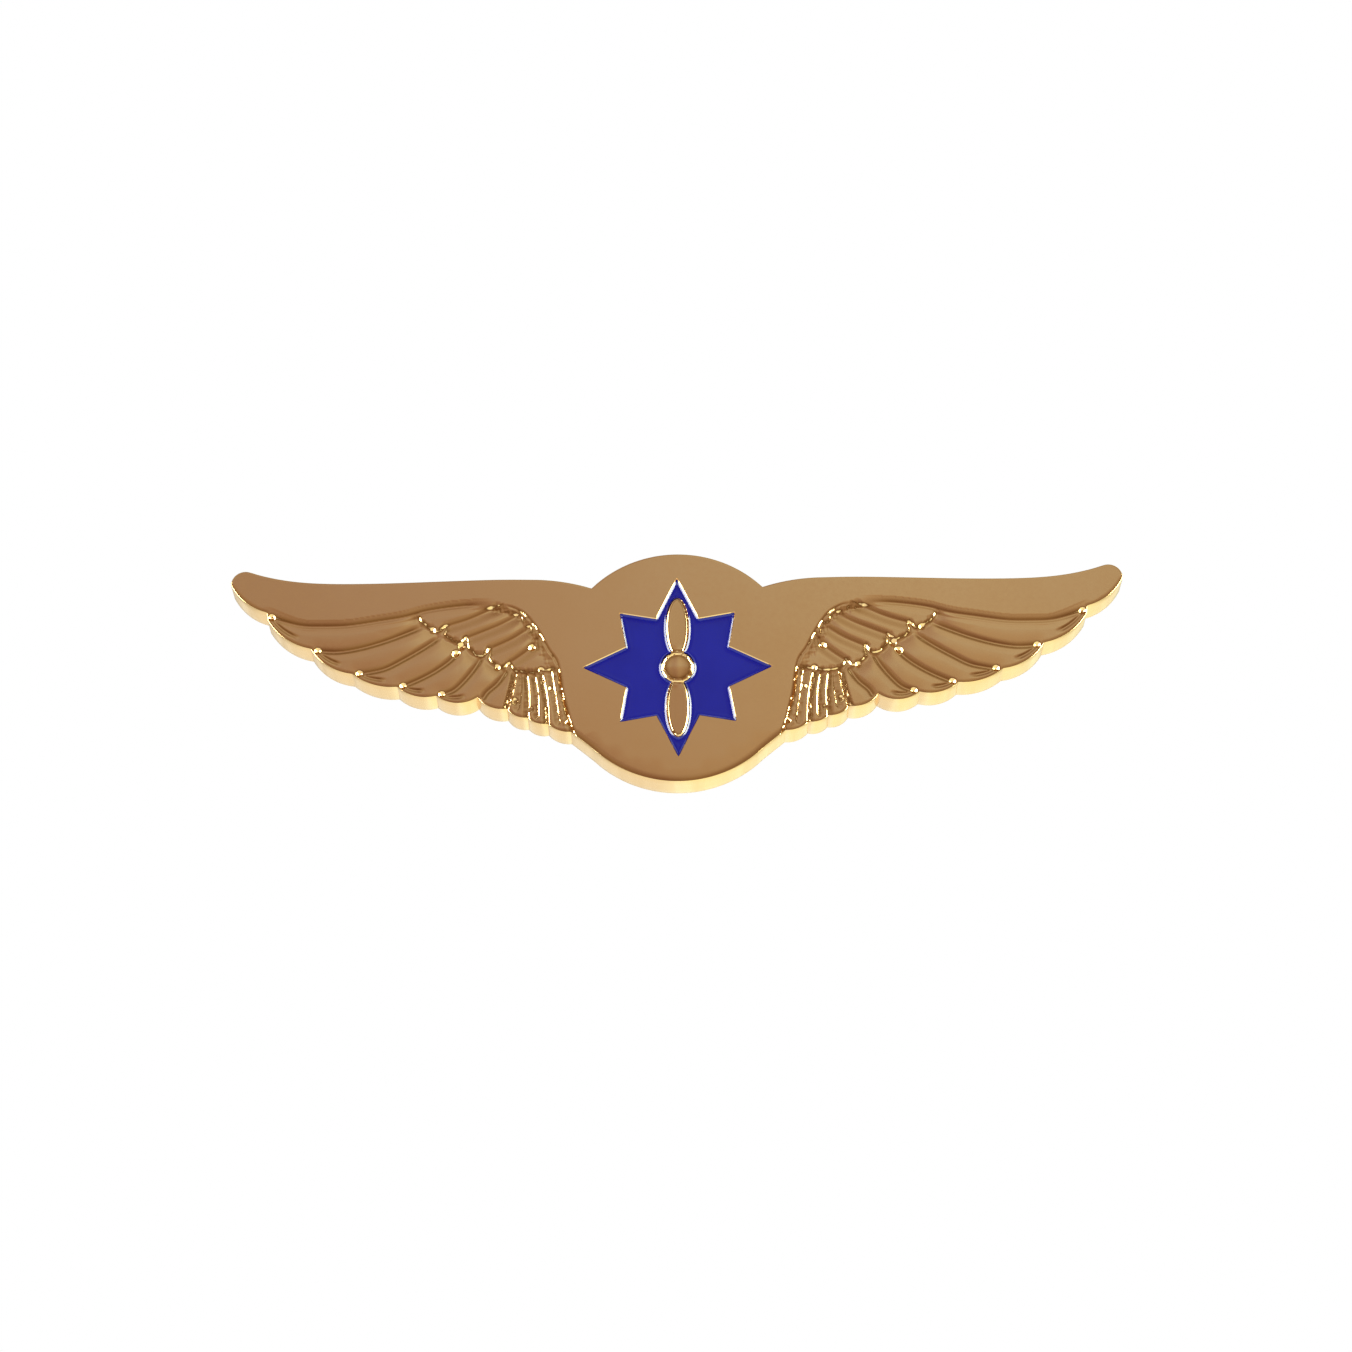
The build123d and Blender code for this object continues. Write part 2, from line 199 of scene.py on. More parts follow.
# ---- flat geometry ----
def turn_angles(points):
    """How far a closed loop turns left at each point, in degrees."""
    before = points - np.roll(points, 1, axis=0)
    after = np.roll(points, -1, axis=0) - points
    cross = before[:, 0] * after[:, 1] - before[:, 1] * after[:, 0]
    return np.degrees(np.arctan2(cross, (before * after).sum(1)))


def through(points, spacing):
    """Evenly spaced points along a smooth curve through the given ones."""
    points = np.asarray(points, float)
    if len(points) == 2:
        fine = points
    else:
        ends = 2 * points[0] - points[1], 2 * points[-1] - points[-2]
        knots = np.vstack([ends[0], points, ends[1]])
        fine = [points[:1]]
        for p0, p1, p2, p3 in zip(knots, knots[1:], knots[2:], knots[3:]):
            t1 = np.linalg.norm(p1 - p0) ** 0.5
            t2 = t1 + np.linalg.norm(p2 - p1) ** 0.5
            t3 = t2 + np.linalg.norm(p3 - p2) ** 0.5
            t = np.linspace(t1, t2, SPLINE_STEPS + 1)[1:, None]
            a1 = (t1 - t) / t1 * p0 + t / t1 * p1
            a2 = (t2 - t) / (t2 - t1) * p1 + (t - t1) / (t2 - t1) * p2
            a3 = (t3 - t) / (t3 - t2) * p2 + (t - t2) / (t3 - t2) * p3
            b1 = (t2 - t) / t2 * a1 + t / t2 * a2
            b2 = (t3 - t) / (t3 - t1) * a2 + (t - t1) / (t3 - t1) * a3
            fine.append((t2 - t) / (t2 - t1) * b1 + (t - t1) / (t2 - t1) * b2)
        fine = np.vstack(fine)
    steps = np.linalg.norm(np.diff(fine, axis=0), axis=1)
    along = np.concatenate([[0], np.cumsum(steps)])
    places = np.linspace(0, along[-1], max(2, int(round(along[-1] / spacing)) + 1))
    return np.column_stack([np.interp(places, along, fine[:, i]) for i in (0, 1)])


def close(loop):
    """A loop with its first point once more at the end."""
    return np.vstack([loop, loop[:1]])


def smooth_loop(points, spacing):
    """A closed loop with even spacing, smooth between its corners."""
    steps = np.linalg.norm(points - np.roll(points, 1, axis=0), axis=1)
    points = points[steps > SHORT_STEP]
    turns = turn_angles(points)
    corners = np.flatnonzero((turns > CORNER_TURN) | (turns < NOTCH_TURN))
    if len(corners) == 0:
        return through(close(points), spacing)[:-1]
    points = np.roll(points, -corners[0], axis=0)
    corners = np.append(corners - corners[0], len(points))
    closed = close(points)
    runs = [through(closed[a : b + 1], spacing)[:-1] for a, b in zip(corners, corners[1:])]
    return np.vstack(runs)


def outward(loop):
    """Unit normals of a loop that runs anticlockwise, pointing out of it."""
    before = loop - np.roll(loop, 1, axis=0)
    after = np.roll(loop, -1, axis=0) - loop
    before /= np.linalg.norm(before, axis=1)[:, None]
    after /= np.linalg.norm(after, axis=1)[:, None]
    normal = np.column_stack([before[:, 1] + after[:, 1], -before[:, 0] - after[:, 0]])
    return normal / np.linalg.norm(normal, axis=1)[:, None]


def area(loop):
    """Area of a loop, negative if it runs clockwise."""
    nxt = np.roll(loop, -1, axis=0)
    return 0.5 * float((loop[:, 0] * nxt[:, 1] - loop[:, 1] * nxt[:, 0]).sum())


def inside(points, loop):
    """Which points lie inside a closed loop."""
    x, z = points[:, 0], points[:, 1]
    found = np.zeros(len(points), bool)
    for (ax, az), (bx, bz) in zip(loop, np.roll(loop, -1, axis=0)):
        if az == bz:
            continue
        crosses = (az > z) != (bz > z)
        found ^= crosses & (x < (bx - ax) * (z - az) / (bz - az) + ax)
    return found


def to_curve(points, curve):
    """Distance from each point to a curve, its side (+1 left of it) and how far along, 0 to 1."""
    best = np.full(len(points), np.inf)
    side = np.ones(len(points))
    place = np.zeros(len(points))
    last = len(curve) - 1
    for i, (a, b) in enumerate(zip(curve, curve[1:])):
        step = b - a
        offset = points - a
        t = np.clip(offset @ step / (step @ step), 0, 1)
        gap = np.hypot(offset[:, 0] - t * step[0], offset[:, 1] - t * step[1])
        nearer = gap < best
        best[nearer] = gap[nearer]
        side[nearer] = np.sign(step[0] * offset[:, 1] - step[1] * offset[:, 0])[nearer]
        place[nearer] = ((i + t) / last)[nearer]
    return best, side, place


def to_loop(points, loop):
    """Distance from each point to a closed loop."""
    return to_curve(points, close(loop))[0]


def mirrored(points):
    """The same points, with those of the left wing moved onto the right one."""
    return np.column_stack([np.abs(points[:, 0]), points[:, 1]])


def ramp(value, low, high):
    """A smooth rise from 0 at low to 1 at high."""
    t = np.clip((value - low) / (high - low), 0, 1)
    return t * t * (3 - 2 * t)


def hex_grid(low, high, pitch):
    """Points in a pattern of even triangles that fills a box."""
    rows = np.arange(low[1], high[1], pitch * math.sqrt(3) / 2)
    found = []
    for i, z in enumerate(rows):
        x = np.arange(low[0] + pitch * (i % 2) / 2, high[0], pitch)
        found.append(np.column_stack([x, np.full(len(x), z)]))
    return np.vstack(found)


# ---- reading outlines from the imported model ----
def flat_loops(part, level, facing):
    """Loops round the flat part of a CAD node at one y, largest first, all anticlockwise."""
    mesh = nodes[part].data
    places = np.round(np.array([v.co for v in mesh.vertices]) / MM, 4)
    edges = set()
    for face in mesh.polygons:
        corners = [tuple(places[i]) for i in face.vertices]
        off_level = max(abs(corner[1] - level) for corner in corners)
        if off_level > LEVEL_SLACK or face.normal.y * facing < 0.9:
            continue
        for a, b in zip(corners, corners[1:] + corners[:1]):
            if (b, a) in edges:
                edges.remove((b, a))
            else:
                edges.add((a, b))
    follow = dict(sorted(edges))
    loops = []
    while follow:
        start, here = follow.popitem()
        loop = [start]
        while here != start:
            loop.append(here)
            here = follow.pop(here)
        loop = np.array([(x, z) for x, _, z in loop])
        loops.append(loop if area(loop) > 0 else loop[::-1])
    return sorted(loops, key=lambda loop: -area(loop))


def star_outlines(spacing):
    """The edge of the enamel and that of the propeller inside it."""
    star, island = flat_loops("enamel_star", -ENAMEL_FACE, -1)
    return smooth_loop(star, spacing), smooth_loop(island, ISLAND_STEP)


# ---- building meshes ----
class Builder:
    """Collects points and faces in millimetres. Heights run from the back towards the viewer."""

    def __init__(self):
        self.points = []
        self.faces = []
        self.slots = []
        self.count = 0

    def add(self, flat, height):
        """Adds points and returns their numbers."""
        flat = np.asarray(flat, float)
        height = np.broadcast_to(height, len(flat))
        self.points.append(np.column_stack([flat[:, 0], -height, flat[:, 1]]))
        first = self.count
        self.count += len(flat)
        return np.arange(first, self.count)

    def bridge(self, a, b, slot=FACE_SLOT):
        """Quads from loop a to loop b, facing outwards when b lies further back."""
        for i in range(len(a)):
            j = (i + 1) % len(a)
            self.faces.append((a[i], b[i], b[j], a[j]))
            self.slots.append(slot)

    def fill(self, loops, numbers, extra=(), heights=0.0, toward=1, slot=FACE_SLOT):
        """Triangles inside the first loop and outside the others, through the extra points."""
        flat = np.vstack([*loops, extra]) if len(extra) else np.vstack(loops)
        edges = []
        first = 0
        for loop in loops:
            edges += [(first + i, first + (i + 1) % len(loop)) for i in range(len(loop))]
            first += len(loop)
        verts, _, tris, origins, _, _ = delaunay_2d_cdt(
            [Vector(point) for point in flat], edges, [], 1, 1e-7
        )
        if len(extra):
            numbers = [*numbers, self.add(extra, heights)]
        ids = np.concatenate(numbers)
        centre = np.array([np.mean([verts[i] for i in t], axis=0) for t in tris])
        keep = np.ones(len(tris), bool)
        for hole in loops[1:]:
            keep &= ~inside(centre, hole)
        keep &= inside(centre, loops[0])
        for tri, kept in zip(tris, keep):
            if not kept:
                continue
            corners = [int(ids[origins[i][0]]) for i in tri]
            self.faces.append(tuple(corners if toward > 0 else corners[::-1]))
            self.slots.append(slot)

    def piece(self, name, materials):
        """The collected faces as an object, smooth apart from its sharp edges."""
        mesh = bpy.data.meshes.new(name)
        points = np.vstack(self.points) * MM
        mesh.from_pydata(points.tolist(), [], self.faces)
        for material in materials:
            mesh.materials.append(material)
        mesh.polygons.foreach_set("material_index", self.slots)
        mesh.polygons.foreach_set("use_smooth", [True] * len(self.faces))
        mesh.update()
        mesh.set_sharp_from_angle(angle=math.radians(SHARP_ANGLE))
        made = bpy.data.objects.new(name, mesh)
        bpy.context.scene.collection.objects.link(made)
        return made


# ---- relief ----
def channel(points, curve, depth, above, below, fade=0.0, rise=0.0, power=2.0):
    """A groove along a curve, with slopes of two widths. Without the lower one, both are alike.

    fade and rise are the shares of its length over which it dies out at its end and its start.
    """
    gap, side, place = to_curve(points, curve)
    upper = np.clip(1 - gap / above, 0, 1) ** power
    shape = upper
    if below:
        lower = 0.5 + 0.5 * np.cos(np.pi * np.clip(gap / below, 0, 1))
        shape = np.where(side > 0, upper, lower)
    if fade:
        shape = shape * ramp(1 - place, 0, fade)
    if rise:
        shape = shape * ramp(place, 0, rise)
    return depth * shape


def uneven(points):
    """A smooth, irregular field from -1 to 1 with bumps about half a millimetre apart."""
    x, z = points[:, 0], points[:, 1]
    coarse = np.sin(5.1 * x + 3.3 * z + 0.7) * np.sin(4.3 * z - 3.7 * x + 2.1)
    fine = np.sin(10.7 * x - 6.1 * z + 1.3) * np.sin(9.1 * z + 7.9 * x + 0.4)
    return 0.6 * coarse + 0.4 * fine


def feather_ends(outline):
    """Notches of the right wing, outer first, and the line that follows the tip below each."""
    turns = turn_angles(outline)
    notches = np.flatnonzero((turns < NOTCH_TURN) & (outline[:, 0] > SHIELD_END))
    notches = notches[np.argsort(-outline[notches, 0])]
    out = outward(outline)
    lines = []
    for outer, inner in zip(notches, notches[1:]):
        run = np.arange(outer - 1, inner, -1)
        inset = np.linspace(*RIM_INSET, len(run))[:, None]
        lines.append(outline[run] - out[run] * inset)
    return outline[notches], lines


def clear_start(line):
    """The first point of a feather tip's line that is clear of its notch."""
    return max(1, len(line) // 12)


def relief(points, outline):
    """How far each point is sunk below the polished face."""
    right = mirrored(points)
    notches, tip_lines = feather_ends(outline)
    long_lines = tip_lines[: len(GROOVES) - 1]
    grooves = [
        through([*curve, line[clear_start(line)]], CURVE_STEP)
        for curve, line in zip(GROOVES, tip_lines)
    ]
    fan_notches = notches[len(GROOVES) :]
    fan = [
        through([*curve, notch], CURVE_STEP) for curve, notch in zip(FAN_GROOVES, fan_notches)
    ]
    creases = [through(curve, CURVE_STEP) for curve in FAN_CREASES]
    band = through([*GROOVES[0], notches[0]], CURVE_STEP)
    inner = through(INNER_EDGE, CURVE_STEP)
    in_field = inside(right, np.vstack([inner, band[1:], PAST_FEATHERS]))
    tips = [through(tip, TIER_STEP) for tip in TIER_TIPS]
    tier = np.vstack([tips[0], *[tip[1:] for tip in tips[1:]]])
    tier_start, fan_top = TIER_TIPS[0][0][0], TIER_TIPS[-1][-1][1]
    covert_field = np.vstack([tier, inner[inner[:, 1] > fan_top], band[band[:, 0] < tier_start]])
    in_coverts = inside(right, covert_field)

    to_tier = to_curve(right, tier)[0]
    to_inner, _, inner_place = to_curve(right, inner)
    to_band = to_curve(right, band)[0]
    to_outline, _, outline_place = to_curve(points, close(outline))
    rough = uneven(points)

    # Every feather rises from its root, under the feathers above, to its tip
    covert_rise = to_inner / (to_inner + to_tier + 1e-6)
    primary_rise = to_tier / (to_tier + to_outline + 1e-6)
    covert_sunk = TIP_SUNK + (ROOT_SUNK - TIP_SUNK) * (1 - covert_rise) ** ROOT_POWER
    primary_sunk = TIP_SUNK + (ROOT_SUNK - TIP_SUNK) * (1 - primary_rise) ** ROOT_POWER
    width = STEP_WIDTH[0] + STEP_WIDTH[1] * rough
    step = np.clip(to_tier / width, 0, 1) * np.where(in_coverts, 1, -1)
    share = 0.5 + 0.5 * np.sin(0.5 * np.pi * step)
    base = primary_sunk + (covert_sunk - primary_sunk) * share
    mean, variation, wider = INNER_WIDTH
    place, length = WIDER_PLACE
    wider_here = wider * np.exp(-(((inner_place - place) / length) ** 2))
    inner_width = mean + variation * rough + wider_here
    base = base * ramp(to_inner, 0.0, inner_width) * ramp(to_band, 0, BAND_WIDTH)
    sunk = np.where(in_field, base, 0)

    cuts = [np.zeros(len(points))]
    for curve in grooves:
        narrow = channel(right, curve, **FEATHER_GROOVE)
        cuts.append(narrow + channel(right, curve, **FEATHER_HOLLOW))
    for curve in COVERT_GROOVES:
        cuts.append(channel(right, through(curve, CURVE_STEP), **COVERT_GROOVE))
    for line in long_lines:
        followed = line[clear_start(line) : int(len(line) * TIP_LINE_END)]
        cuts.append(channel(right, followed, **TIP_LINE))
    near = in_field | (to_band < BAND_REACH)
    sunk += np.where(near, np.max(cuts, axis=0), 0)
    sunk += channel(right, inner, **INNER_LINE)

    # The fan is a row of narrow ridges, with deeper grooves between its feathers
    beside, side, _ = to_curve(right, fan[0])
    in_fan = ((side < 0) | (beside < RIDGE_HALF)) & (right[:, 0] < FAN_END)
    ridges = in_field & ~in_coverts & in_fan
    valleys = [
        channel(right, curve, depth, **FAN_VALLEY)
        for curve, depth in zip([inner[::-1], *fan, *creases], FAN_DEPTHS)
    ]
    valleys = np.max(valleys, axis=0) * (1 + FAN_VARIATION * rough)
    sunk += np.where(ridges, valleys * ramp(to_tier, 0, FAN_FADE), 0)

    # Dents of the punch, and the restless metal along the steps
    junctions = [(*line[clear_start(line)], JUNCTION_DENT) for line in long_lines]
    for x, z, radius in DENTS + junctions:
        gap = np.sqrt((right[:, 0] - x) ** 2 + (right[:, 1] - z) ** 2 + DENT_SOFT**2)
        sunk += DENT_SLOPE * np.clip(radius - gap, 0, 1)
    height, reach = RESTLESS
    restless = np.exp(-((np.minimum(to_tier, to_inner) / reach) ** 2)) * np.where(in_field, 1, 0)
    sunk += height * rough * restless
    sunk = np.maximum(sunk, 0)
    return sunk + polished_down(right, outline, to_outline, outline_place)


def polished_down(right, outline, to_outline, place):
    """How far the edges that look downwards are worn by polishing."""
    nearest = np.minimum((place * len(outline)).astype(int), len(outline) - 1)
    # Full where an edge looks 42 degrees or more downwards
    downward = np.clip(-1.5 * outward(outline)[nearest, 1], 0, 1)
    feathery = ramp(right[:, 0], *FEATHERS_FROM)
    on_disc, on_feathers = POLISHED_WIDTH
    width = on_disc + (on_feathers - on_disc) * feathery
    slope = POLISHED_DOWN / on_disc
    return slope * width * downward * np.clip(1 - to_outline / width, 0, 1) ** 2


# ---- the badge ----
def front_points(outline, rim, star):
    """Points of the front: dense where the feathers are, few on the flats."""
    band = through(GROOVES[0] + [BAND_END], FIELD_STEP)
    field = np.vstack([through(INNER_EDGE, FIELD_STEP), band[1:], PAST_FEATHERS])

    def feathered(points, margin):
        right = mirrored(points)
        return inside(right, field) | (to_loop(right, field) < margin)

    low, high = rim.min(0), rim.max(0)
    fine = hex_grid(low, high, FINE)
    fine = fine[(np.abs(fine[:, 0]) > FINE_FROM) & (fine[:, 1] < FINE_BELOW)]
    fine = fine[feathered(fine, FINE_REACH)]
    fine = fine[inside(fine, rim)]
    fine = fine[to_loop(fine, rim) > FINE_GAP]
    coarse = hex_grid(low, high, COARSE)
    coarse = coarse[inside(coarse, rim) & ~inside(coarse, star * STAR_CLEAR)]
    coarse = coarse[~feathered(coarse, COARSE_REACH)]
    coarse = coarse[to_loop(coarse, rim) > COARSE_GAP]
    out = outward(outline)
    margin = np.vstack([outline - out * (EDGE_ROUND + gap) for gap in FRONT_MARGIN])
    margin = margin[~feathered(margin, MARGIN_REACH)]
    return np.vstack([fine, coarse, margin])


def side_wall(made, outline, rim, rim_ids, rim_height):
    """Rounded front edge, wall and rounded back edge. Returns the numbers of its last loop."""
    out = outward(outline)
    above = rim_ids
    for i in range(1, 4):  # the last loop, at 90 degrees, is on the outline
        angle = math.radians(30 * i)
        loop = rim + out * EDGE_ROUND * math.sin(angle)
        ids = made.add(loop, rim_height - EDGE_ROUND * (1 - math.cos(angle)))
        made.bridge(above, ids)
        above = ids
    for share in (0.66, 0.33):
        ids = made.add(outline, EDGE_ROUND + (rim_height - 2 * EDGE_ROUND) * share)
        made.bridge(above, ids, slot=WALL_SLOT)
        above = ids
    for i in range(4):
        angle = math.radians(30 * i)
        loop = outline - out * EDGE_ROUND * (1 - math.cos(angle))
        ids = made.add(loop, EDGE_ROUND * (1 - math.sin(angle)))
        made.bridge(above, ids, slot=BACK_SLOT if i else WALL_SLOT)
        above = ids
    return above


def back_face(made, outline, rim, rim_ids, seats):
    """The plain back, with a shallow seat for each post."""
    seat_ids = [made.add(seat, 0.0) for seat in seats]
    plain = hex_grid(rim.min(0), rim.max(0), COARSE)
    plain = plain[inside(plain, rim) & (to_loop(plain, rim) > COARSE_GAP)]
    for seat in seats:
        plain = plain[~inside(plain, seat) & (to_loop(plain, seat) > SEAT_GAP)]
    out = outward(outline)
    margin = np.vstack([outline - out * (EDGE_ROUND + gap) for gap in BACK_MARGIN])
    points = np.vstack([plain, margin])
    made.fill([rim, *seats], [rim_ids, *seat_ids], points, toward=-1, slot=BACK_SLOT)
    for seat, ids in zip(seats, seat_ids):
        floor_ids = made.add(seat, SEAT_DEPTH)
        made.bridge(ids, floor_ids, slot=BACK_SLOT)
        made.fill([seat], [floor_ids], toward=-1, slot=BACK_SLOT)


def star_recess(made, star, star_edge_ids, island):
    """The recess for the enamel, with the propeller standing in it."""
    wall_ids = made.add(star, FACE - STAR_BEVEL)
    floor_ids = made.add(star, STAR_FLOOR)
    made.bridge(wall_ids, star_edge_ids)
    made.bridge(floor_ids, wall_ids)
    island_floor = made.add(island, STAR_FLOOR)
    made.fill([star, island], [floor_ids, island_floor])
    island_edge = made.add(island, FACE - PROPELLER_RISE)
    made.bridge(island_edge, island_floor)
    grid = hex_grid(island.min(0), island.max(0), PROPELLER_FINE)
    grid = grid[inside(grid, island)]
    grid = grid[to_loop(grid, island) > WALL_GAP]
    made.fill([island], [island_edge], grid, propeller_height(grid, island))


def propeller_height(points, island):
    """Two blades, high along the leading side, and a domed hub with a ring round it."""
    foot = FACE - PROPELLER_RISE
    rise = PROPELLER_RISE * ramp(to_loop(points, island), 0, BLADE_EDGE)
    radius = np.hypot(points[:, 0], points[:, 1])
    twist = BLADE_TWIST * np.sign(points[:, 1]) * points[:, 0]
    blade = foot + rise - BLADE_SUNK - twist * ramp(radius, *TWIST_FROM)
    hub = foot + PROPELLER_RISE * np.sqrt(np.clip(1 - (radius / HUB_RADIUS) ** 2, 0, 1))
    ring = foot + RING_HEIGHT * np.exp(-(((radius - RING_RADIUS) / RING_WIDTH) ** 2))
    centre = np.maximum(hub, ring)
    share = ramp(radius, *HUB_TO_BLADE)
    return np.minimum(centre * (1 - share) + blade * share, FACE)


def badge_piece(materials):
    back_loops = flat_loops("badge_body", 0.0, 1)
    outline = smooth_loop(back_loops[0], OUTLINE_STEP)
    seats = [smooth_loop(loop, SEAT_STEP) for loop in back_loops[1:]]
    star, island = star_outlines(STAR_STEP)
    rim = outline - outward(outline) * EDGE_ROUND
    rim_height = FACE - relief(rim, outline)
    star_edge = star + outward(star) * STAR_BEVEL
    points = front_points(outline, rim, star)

    made = Builder()
    rim_ids, star_edge_ids = made.add(rim, rim_height), made.add(star_edge, FACE)
    heights = FACE - relief(points, outline)
    made.fill([rim, star_edge], [rim_ids, star_edge_ids], points, heights)
    back_ids = side_wall(made, outline, rim, rim_ids, rim_height)
    back_face(made, outline, rim, back_ids, seats)
    star_recess(made, star, star_edge_ids, island)
    return made.piece("badge_relief", materials)


def enamel_piece(material):
    star, island = star_outlines(ENAMEL_STEP)

    def to_wall(points):
        return np.minimum(to_loop(points, star), to_loop(points, island))

    rings = [star - outward(star) * gap for gap in ENAMEL_RINGS]
    rings += [island + outward(island) * gap for gap in ENAMEL_RINGS]
    wanted = [np.full(len(ring), gap) for ring, gap in zip(rings, ENAMEL_RINGS * 2)]
    rings = np.vstack(rings)
    # In the star's corners the rows cross, and there they are cut short
    rings = rings[inside(rings, star) & (to_wall(rings) > 0.93 * np.concatenate(wanted))]
    grid = hex_grid(star.min(0), star.max(0), ENAMEL_FINE)
    grid = grid[inside(grid, star) & ~inside(grid, island)]
    grid = np.vstack([grid[to_wall(grid) > ENAMEL_RINGS[-1] + WALL_GAP], rings])
    # The glass climbs a little at the walls
    sag = ENAMEL_SAG * (1 - np.clip(1 - to_wall(grid) / ENAMEL_EDGE, 0, 1) ** 2)

    made = Builder()
    star_top, island_top = made.add(star, ENAMEL_FACE), made.add(island, ENAMEL_FACE)
    made.fill([star, island], [star_top, island_top], grid, ENAMEL_FACE - sag)
    star_foot, island_foot = made.add(star, STAR_FLOOR), made.add(island, STAR_FLOOR)
    made.bridge(star_top, star_foot)
    made.bridge(island_foot, island_top)
    made.fill([star, island], [star_foot, island_foot], toward=-1)
    return made.piece("enamel_filling", [material])


# ---- materials ----
EVEN = (1, 1, 1)
METAL_CLOUDS, ENAMEL_CLOUDS, ENAMEL_WAVES, FLOOR_CLOUDS = 160, 300, 500, 6  # noise scales
GRAIN_HEIGHT = 0.00002  # metres
WAVE_HEIGHT = 0.00005


def shader(name):
    material = bpy.data.materials.new(name)
    material.use_nodes = True
    tree = material.node_tree
    return material, tree, tree.nodes["Principled BSDF"]


def node(tree, kind, **values):
    """A new node, with its properties or inputs set."""
    made = tree.nodes.new(kind)
    for key, value in values.items():
        if hasattr(made, key):
            setattr(made, key, value)
        else:
            made.inputs[key.replace("_", " ")].default_value = value
    return made


def stretched(tree, scale):
    """Object coordinates stretched by three factors."""
    place = node(tree, "ShaderNodeTexCoord")
    mapping = node(tree, "ShaderNodeMapping")
    mapping.inputs["Scale"].default_value = scale
    tree.links.new(place.outputs["Object"], mapping.inputs["Vector"])
    return mapping.outputs["Vector"]


def noise(tree, vector, scale, detail=3.0, roughness=0.5):
    made = node(tree, "ShaderNodeTexNoise", Scale=scale, Detail=detail, Roughness=roughness)
    tree.links.new(vector, made.inputs["Vector"])
    return made.outputs["Fac"]


def spread(tree, value, low, high, out_low, out_high):
    """Maps low and high to two other values, and stays there outside them."""
    made = node(tree, "ShaderNodeMapRange")
    made.inputs["From Min"].default_value = low
    made.inputs["From Max"].default_value = high
    made.inputs["To Min"].default_value = out_low
    made.inputs["To Max"].default_value = out_high
    tree.links.new(value, made.inputs["Value"])
    return made.outputs["Result"]


def two_colours(tree, value, first, second):
    made = node(tree, "ShaderNodeValToRGB")
    made.color_ramp.elements[0].color = (*first, 1)
    made.color_ramp.elements[0].position = 0.3
    made.color_ramp.elements[1].color = (*second, 1)
    made.color_ramp.elements[1].position = 0.7
    tree.links.new(value, made.inputs["Fac"])
    return made.outputs["Color"]


def add_bump(tree, bsdf, height, strength, distance):
    made = node(tree, "ShaderNodeBump", Strength=strength, Distance=distance)
    tree.links.new(height, made.inputs["Height"])
    tree.links.new(made.outputs["Normal"], bsdf.inputs["Normal"])


def clouded(tree, bsdf, scale, first, second):
    """Colours the shader in soft clouds of two colours."""
    cloud = noise(tree, stretched(tree, EVEN), scale)
    tree.links.new(two_colours(tree, cloud, first, second), bsdf.inputs["Base Color"])


def metal(name, first, second, rough, grain, bump, stretch=EVEN):
    """A metal with slight colour and gloss variation and a fine grain."""
    material, tree, bsdf = shader(name)
    bsdf.inputs["Metallic"].default_value = 1.0
    clouded(tree, bsdf, METAL_CLOUDS, first, second)
    fine = noise(tree, stretched(tree, stretch), grain, detail=4, roughness=0.6)
    tree.links.new(spread(tree, fine, 0.3, 0.7, *rough), bsdf.inputs["Roughness"])
    add_bump(tree, bsdf, fine, bump, GRAIN_HEIGHT)
    return material


GOLD = (0.95, 0.66, 0.34)
GOLD_WARM = (0.93, 0.63, 0.31)
# Each has two colours, a range of roughness, the scale of its grain and the strength of its bump
materials = {
    "face": metal("polished_gold", GOLD, GOLD_WARM, (0.1, 0.17), 2500, 0.02),
    "wall": metal("struck_gold_wall", GOLD, GOLD_WARM, (0.2, 0.34), 900, 0.2, (1, 0.08, 1)),
    "back": metal("matt_gold_back", (0.86, 0.6, 0.31), (0.8, 0.54, 0.27), (0.3, 0.5), 3500, 0.35),
    "brass": metal("pressed_brass", (0.9, 0.66, 0.35), (0.83, 0.58, 0.28), (0.14, 0.3), 1800, 0.1),
    "solder": metal("soft_solder", (0.62, 0.62, 0.6), (0.5, 0.5, 0.49), (0.3, 0.55), 1200, 0.5),
    "wire": metal("spring_steel_wire", (0.6, 0.6, 0.62), (0.5, 0.5, 0.53), (0.15, 0.3), 4000, 0.1),
}


def enamel_material():
    material, tree, bsdf = shader("deep_blue_enamel")
    clouded(tree, bsdf, ENAMEL_CLOUDS, (0.002, 0.007, 0.29), (0.004, 0.01, 0.33))
    bsdf.inputs["Roughness"].default_value = 0.12
    bsdf.inputs["Specular IOR Level"].default_value = 0.4
    bsdf.inputs["Coat Weight"].default_value = 0.4
    bsdf.inputs["Coat Roughness"].default_value = 0.03
    wave = noise(tree, stretched(tree, EVEN), ENAMEL_WAVES, detail=1)
    add_bump(tree, bsdf, wave, 0.05, WAVE_HEIGHT)
    return material


badge = badge_piece([materials["face"], materials["wall"], materials["back"]])
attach(badge, "badge")
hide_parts("badge_body")

enamel = enamel_piece(enamel_material())
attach(enamel, "badge")
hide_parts("enamel_star")

for name, made in nodes.items():
    if name in ("badge_body", "enamel_star"):
        continue
    kind = next((word for word in ("wire", "solder") if word in name), "brass")
    made.data.materials.clear()
    made.data.materials.append(materials[kind])

# ---- camera, light and floor ----
VIEW_ELEVATION = -20.0
VIEW_DISTANCE = 0.35
VIEW_WIDTH = 0.1146
VIEW_ROLL = -0.5  # the badge's right wing stands a little higher
AIM = Vector((-0.00015, -FACE * MM, 0.0))
AIM_BELOW = 0.0008
FLOOR_Z = -0.15
FLOOR_HALF = 3.0
